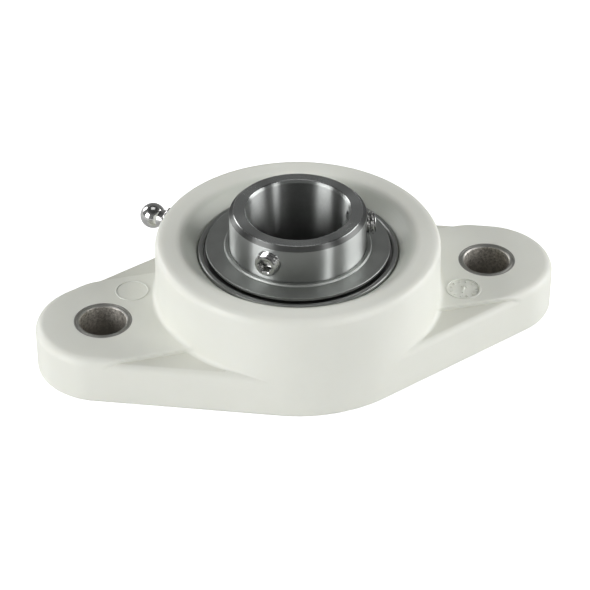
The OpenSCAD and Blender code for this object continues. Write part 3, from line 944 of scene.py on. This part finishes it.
def build_nipple():
    """Straight nipple: plain stub, hexagon with chamfered corners, neck, and a ball head with a mouth.

    Its rings go up the outside, over the head and back down the grease way inside.
    """
    tip = reach_mm("grease_nipple_body", nipple_way)[1]
    stub_end_r, stub_chamfer = 2.6, 0.4
    seat, hex_deep, across = spot_face_at, 3.0, 7.0
    hex_cone = ((0.0, 3.45), (0.35, 4.1), (1.0, 9.0), (2.0, 9.0), (2.62, 4.15), (hex_deep, 3.4))
    hex_end = seat + hex_deep
    neck_r, head_r, head_below_tip, head_rings = 2.3, 3.25, 2.95, 22
    head_at = tip - head_below_tip
    turns = even_turns(96)
    hex_r = hexagon(across, turns + np.pi / 6)
    profile = [(grease_hole_r, nipple_hole_from), (stub_end_r, nipple_hole_from),
               (nipple_hole_r, nipple_hole_from + stub_chamfer), (nipple_hole_r, seat)]
    profile += [(np.minimum(hex_r, cone), seat + height) for height, cone in hex_cone]
    profile += [(neck_r + 0.35, hex_end), (neck_r + 0.1, hex_end + 0.1), (neck_r, hex_end + 0.35)]
    head_start, head_end = -math.acos(neck_r / head_r), math.asin(head_below_tip / head_r) - 0.06
    profile += [(head_r * math.cos(angle), head_at + head_r * math.sin(angle))
                for angle in np.linspace(head_start, head_end, head_rings)]
    profile += [(chamber_r, tip), (1.1, tip - 0.12), (grease_hole_r, tip - 0.4), (grease_hole_r, tip - 0.9),
                (chamber_r, tip - 1.0), (chamber_r, chamber_floor), (grease_hole_r, chamber_floor - 0.1),
                (grease_hole_r, nipple_hole_from)]
    rows = [ring_points(radius, height, turns) for radius, height in profile]
    return add_piece("grease_nipple", [skin(rows, looped=True)], "housing", nipple_metal,
                     ["grease_nipple_body"], place=radial_place(nipple_way, grease_h), sharp_angle=28)


build_nipple()


def build_spring():
    """The check ball's coil spring with closed ends."""
    wire_r, coil_r, coils, ball_gap, clear = 0.16, 1.05, 6.5, 0.9, 0.02
    ring_count, sides = 313, 12
    ball_low, ball_high = reach_mm("nipple_ball", nipple_way)
    bottom, top = chamber_floor + wire_r + clear, (ball_low + ball_high) / 2 - ball_gap
    closed, closed_rise = 1 / coils, 2 * wire_r + clear
    part = np.linspace(0, 1, ring_count)
    turn = 2 * np.pi * coils * part
    height = np.interp(part, [0, closed, 1 - closed, 1],
                       [bottom, bottom + closed_rise, top - closed_rise, top])
    outward = np.stack([np.cos(turn), np.sin(turn), np.zeros(ring_count)], axis=1)
    middle = coil_r * outward + height[:, None] * Z
    along = np.gradient(middle, axis=0)
    along /= np.linalg.norm(along, axis=1, keepdims=True)
    aside = np.cross(along, outward)
    aside /= np.linalg.norm(aside, axis=1, keepdims=True)
    across = np.cross(aside, along)
    angle = even_turns(sides)[None, :, None]
    rings = middle[:, None] + wire_r * (np.cos(angle) * across[:, None] + np.sin(angle) * aside[:, None])
    start, end = ((nipple_way * reach + Z * grease_h) * MM for reach in (bottom, top))
    return add_piece("check_ball_spring", [skin(rings)], ("housing", "nipple_ball", start, end),
                     wire_metal, ["nipple_spring"],
                     place=radial_place(nipple_way, grease_h), sharp_angle=60)


build_spring()


# ---- CAD nodes that keep their shape ----

def finish_node(node, material):
    """Gives a CAD node its material."""
    shape = frame["nodes"][node]
    shape.data.materials.clear()
    shape.data.materials.append(material)


kept_nodes = {
    "nipple_ball": ("ball_steel", ball_metal),
    "locating_pin": ("ring_steel", ring_metal),
    "seal_shield_front": ("seal_steel", seal_metal),
    "seal_shield_back": ("seal_steel", seal_metal),
    "seal_lip_front": ("seal_rubber", lip_rubber),
    "seal_lip_back": ("seal_rubber", lip_rubber),
    "cage_front_half": ("cage_steel", cage_metal),
    "cage_back_half": ("cage_steel", cage_metal),
    "cage_rivets": ("cage_steel", cage_metal),
}
ball_count = 9
kept_nodes.update({f"ball_{k}": ("ball_steel", ball_metal) for k in range(1, ball_count + 1)})
for node, (slot, material) in kept_nodes.items():
    finish_node(node, material)


# ---- Floor, light and camera ----

def add_object(name, data):
    made = bpy.data.objects.new(name, data)
    bpy.context.scene.collection.objects.link(made)
    return made


def add_floor():
    """A pale floor, wide enough to fill the view, which a camera sees as white as a backdrop."""
    half, just_below, backdrop = 4.0, -0.0001, 0.85
    mesh = bpy.data.meshes.new("floor")
    corners = [(-half, -half, 0), (half, -half, 0), (half, half, 0), (-half, half, 0)]
    mesh.from_pydata(corners, [], [(0, 1, 2, 3)])
    floor = add_object("floor", mesh)
    floor.location.z = just_below
    s = Shader("pale_floor", Roughness=0.9, Emission_Color=(1, 1, 1, 1))
    seen = s.node("LightPath").outputs["Is Camera Ray"]
    tone = s.blend(s.noise(s.place(), 3, 2.0), (0.78, 0.78, 0.78), (0.82, 0.82, 0.82))
    s.surface(Base_Color=tone, Emission_Strength=s.math("MULTIPLY", seen, backdrop))
    mesh.materials.append(s.material)


def direction(azimuth, elevation):
    """Unit vector from the object: azimuth 0 is -Y, positive towards +X."""
    a, e = math.radians(azimuth), math.radians(elevation)
    return Vector((math.sin(a) * math.cos(e), -math.cos(a) * math.cos(e), math.sin(e)))


def look_at(thing, place, target):
    """Puts a light or camera at a place, facing the target."""
    thing.location = place
    thing.rotation_euler = (place - target).to_track_quat("Z", "Y").to_euler()


def add_softbox(name, azimuth, elevation, width, height, power):
    distance, target = 1.2, Vector((0, 0, 0.015))
    light = bpy.data.lights.new(name, "AREA")
    light.shape = "RECTANGLE"
    light.size, light.size_y = width, height
    light.energy = power
    look_at(add_object(name, light), target + direction(azimuth, elevation) * distance, target)


def add_world():
    """A soft room: pale round the sides and dark overhead."""
    side_light, top_light = 0.21, 0.06
    side_up_to, top_from = 0.55, 0.85
    world = bpy.data.worlds.new("soft_room")
    world.use_nodes = True
    nodes, links = world.node_tree.nodes, world.node_tree.links
    parts = nodes.new("ShaderNodeSeparateXYZ")
    links.new(nodes.new("ShaderNodeTexCoord").outputs["Generated"], parts.inputs[0])
    light = nodes.new("ShaderNodeMapRange")
    light.interpolation_type = "SMOOTHSTEP"
    links.new(parts.outputs[2], light.inputs["Value"])
    light.inputs["From Min"].default_value = side_up_to
    light.inputs["From Max"].default_value = top_from
    light.inputs["To Min"].default_value = side_light
    light.inputs["To Max"].default_value = top_light
    background = nodes["Background"]
    background.inputs["Color"].default_value = (1, 1, 1, 1)
    links.new(light.outputs[0], background.inputs["Strength"])
    bpy.context.scene.world = world


def add_camera():
    azimuth, elevation, distance = -15.06, 36.12, 0.6441
    target = Vector((-0.0007, 0.0002, 0.0109))
    camera_data = bpy.data.cameras.new("camera")
    camera_data.sensor_width = 36
    camera_data.lens = 157.5
    camera_data.clip_end = 20
    camera = add_object("camera", camera_data)
    look_at(camera, target + direction(azimuth, elevation) * distance, target)
    bpy.context.scene.camera = camera


add_floor()
add_world()
# Each softbox: azimuth and elevation in degrees, width and height in metres, and power in watts.
softboxes = {
    "left_softbox": (-74, 20, 0.65, 0.65, 9.6),
    "back_left_softbox": (-142, 20, 0.4, 0.65, 3.8),
    "right_softbox": (33, 20, 0.2, 0.65, 3.4),
    "back_right_softbox": (84, 21, 0.8, 0.65, 9.6),
    "top_softbox": (170, 78, 0.6, 0.5, 1.0),
}
for name, values in softboxes.items():
    add_softbox(name, *values)
add_camera()
bpy.context.scene.view_settings.view_transform = "Standard"
